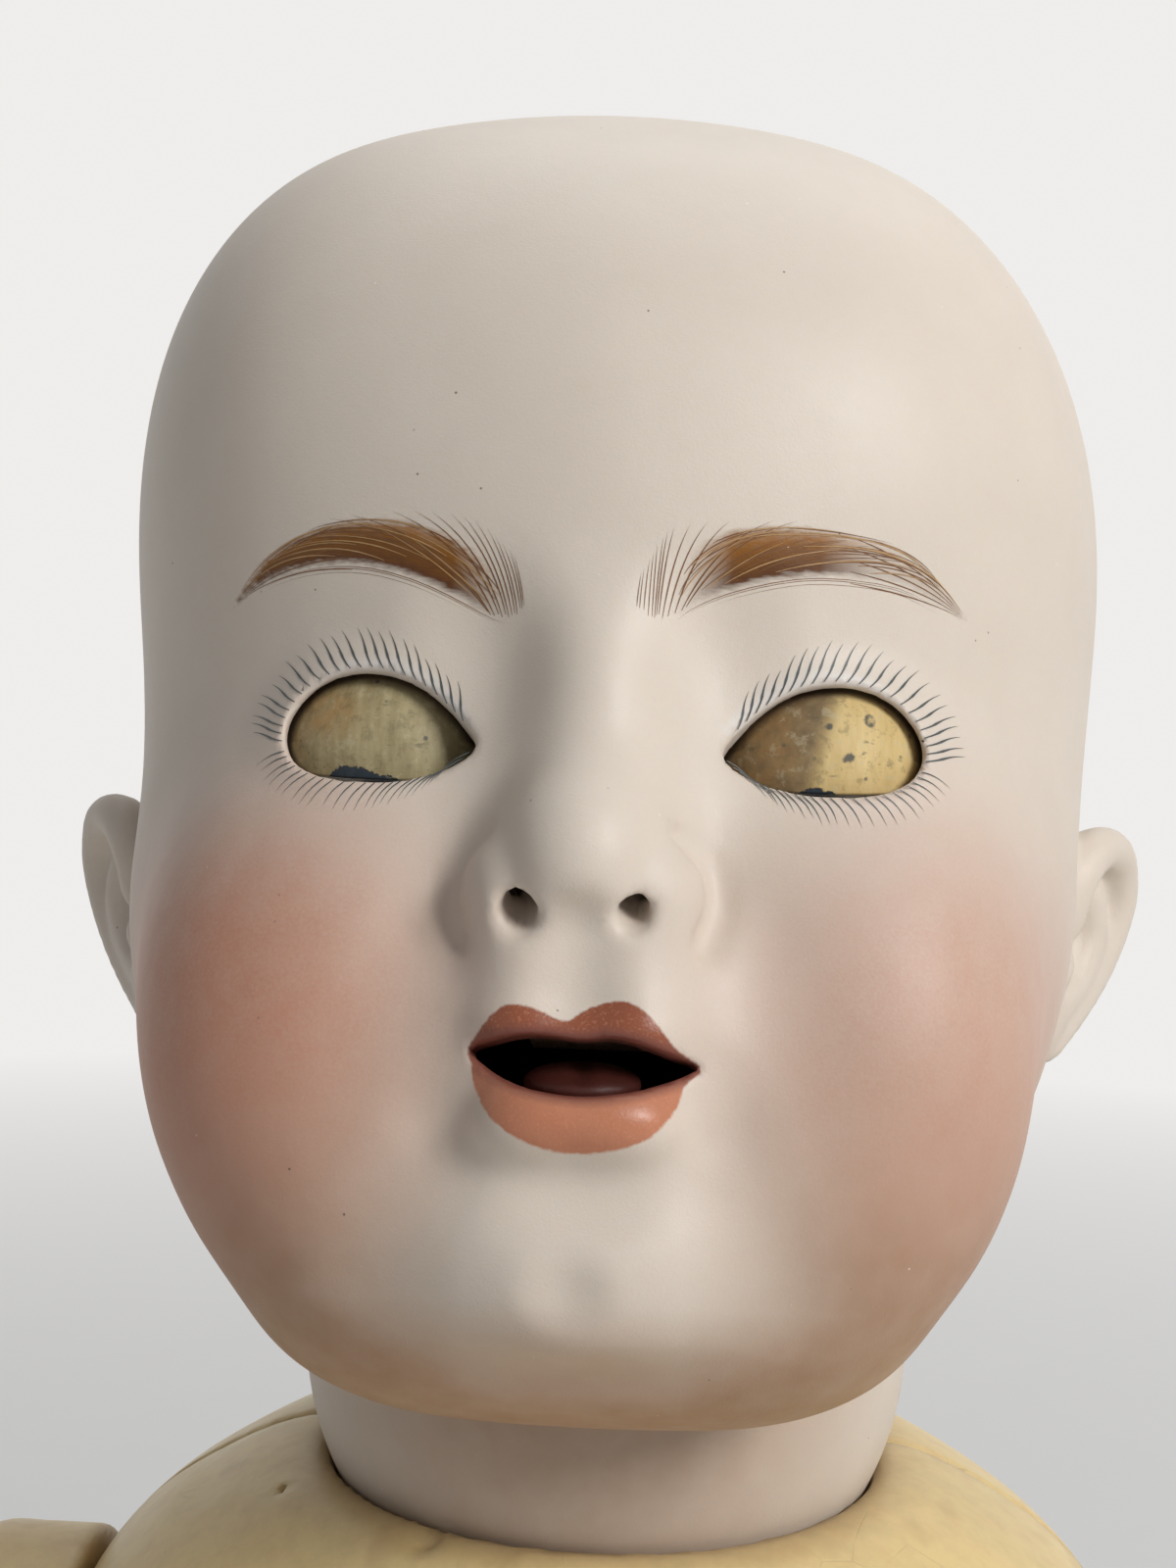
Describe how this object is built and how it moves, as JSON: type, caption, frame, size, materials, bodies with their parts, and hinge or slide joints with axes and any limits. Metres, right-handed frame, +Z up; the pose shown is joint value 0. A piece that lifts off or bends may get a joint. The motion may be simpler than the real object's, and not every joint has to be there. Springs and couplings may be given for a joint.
{
  "type": "bisque head baby doll",
  "caption": "Sitting baby doll with a bisque socket head, sleep eyes, wobble tongue and a strung bent-limb composition body.",
  "frame": {"origin": "middle of the flat that the body sits on", "axes": "+Z up, -Y the way the face looks, +X the doll's left"},
  "size_m": [0.2282, 0.2277, 0.3615],
  "materials": {
    "bisque": "matte",
    "pate_card": "matte",
    "plaster": "matte",
    "cork": "matte",
    "eye_glass": "polished",
    "lid_wax": "satin",
    "iron": "satin",
    "lead": "matte",
    "tongue_paint": "satin",
    "turned_wood": "matte",
    "composition": "satin",
    "elastic": "matte"
  },
  "bodies": {
    "torso": {"torso_front": "composition", "torso_back": "composition", "arm_elastic": "elastic", "leg_elastic": "elastic"},
    "neck_hook": {"neck_hook": "iron"},
    "neck_button": {"neck_button": "turned_wood"},
    "head": {"bisque_head": "bisque", "crown_pate": "pate_card", "left_eye_seat": "plaster", "right_eye_seat": "plaster", "weight_bumper": "cork", "tongue_seat": "plaster"},
    "eyes": {"left_eyeball": "eye_glass", "right_eyeball": "eye_glass", "left_eyelid": "lid_wax", "right_eyelid": "lid_wax", "left_eye_plaster": "plaster", "right_eye_plaster": "plaster", "eye_wire": "iron", "eye_weight": "lead"},
    "tongue": {"tongue": "tongue_paint", "tongue_wire": "iron"},
    "left_arm": {"left_arm": "composition", "left_arm_plug": "turned_wood", "left_arm_hook": "iron"},
    "left_leg": {"left_leg": "composition", "left_leg_plug": "turned_wood", "left_leg_hook": "iron"},
    "right_arm": {"right_arm": "composition", "right_arm_plug": "turned_wood", "right_arm_hook": "iron"},
    "right_leg": {"right_leg": "composition", "right_leg_plug": "turned_wood", "right_leg_hook": "iron"}
  },
  "joints": [
    {"name": "head_nod", "type": "hinge", "parent": "torso", "child": "neck_hook", "pos_m": [0, 0, 0.211], "axis": [1, 0, 0], "range_deg": [-8, 18], "deforming": ["leg_elastic"]},
    {"name": "head_tilt", "type": "hinge", "parent": "neck_hook", "child": "neck_button", "pos_m": [0, 0, 0.211], "axis": [0, 0.9563, -0.2924], "range_deg": [-6, 6]},
    {"name": "head_turn", "type": "hinge", "parent": "neck_button", "child": "head", "pos_m": [0, 0, 0.211], "axis": [0, 0.2924, 0.9563], "range_deg": [-80, 80]},
    {"name": "eye_roll", "type": "hinge", "parent": "head", "child": "eyes", "pos_m": [0, -0.04154, 0.28309], "axis": [-1, 0, 0], "range_deg": [0, 52]},
    {"name": "tongue_wobble", "type": "hinge", "parent": "head", "child": "tongue", "pos_m": [0, -0.06089, 0.23881], "axis": [1, 0, 0], "range_deg": [-4, 4]},
    {"name": "left_shoulder", "type": "hinge", "parent": "torso", "child": "left_arm", "pos_m": [0.065, 0, 0.159], "axis": [1, 0, 0], "range_deg": [-75, 60], "deforming": ["arm_elastic"]},
    {"name": "right_shoulder", "type": "hinge", "parent": "torso", "child": "right_arm", "pos_m": [-0.065, 0, 0.159], "axis": [1, 0, 0], "range_deg": [-75, 60], "deforming": ["arm_elastic"]},
    {"name": "left_hip", "type": "hinge", "parent": "torso", "child": "left_leg", "pos_m": [0.04, -0.008, 0.031], "axis": [1, 0, 0], "range_deg": [-45, 70], "deforming": ["leg_elastic"]},
    {"name": "right_hip", "type": "hinge", "parent": "torso", "child": "right_leg", "pos_m": [-0.04, -0.008, 0.031], "axis": [1, 0, 0], "range_deg": [-45, 70], "deforming": ["leg_elastic"]}
  ]
}
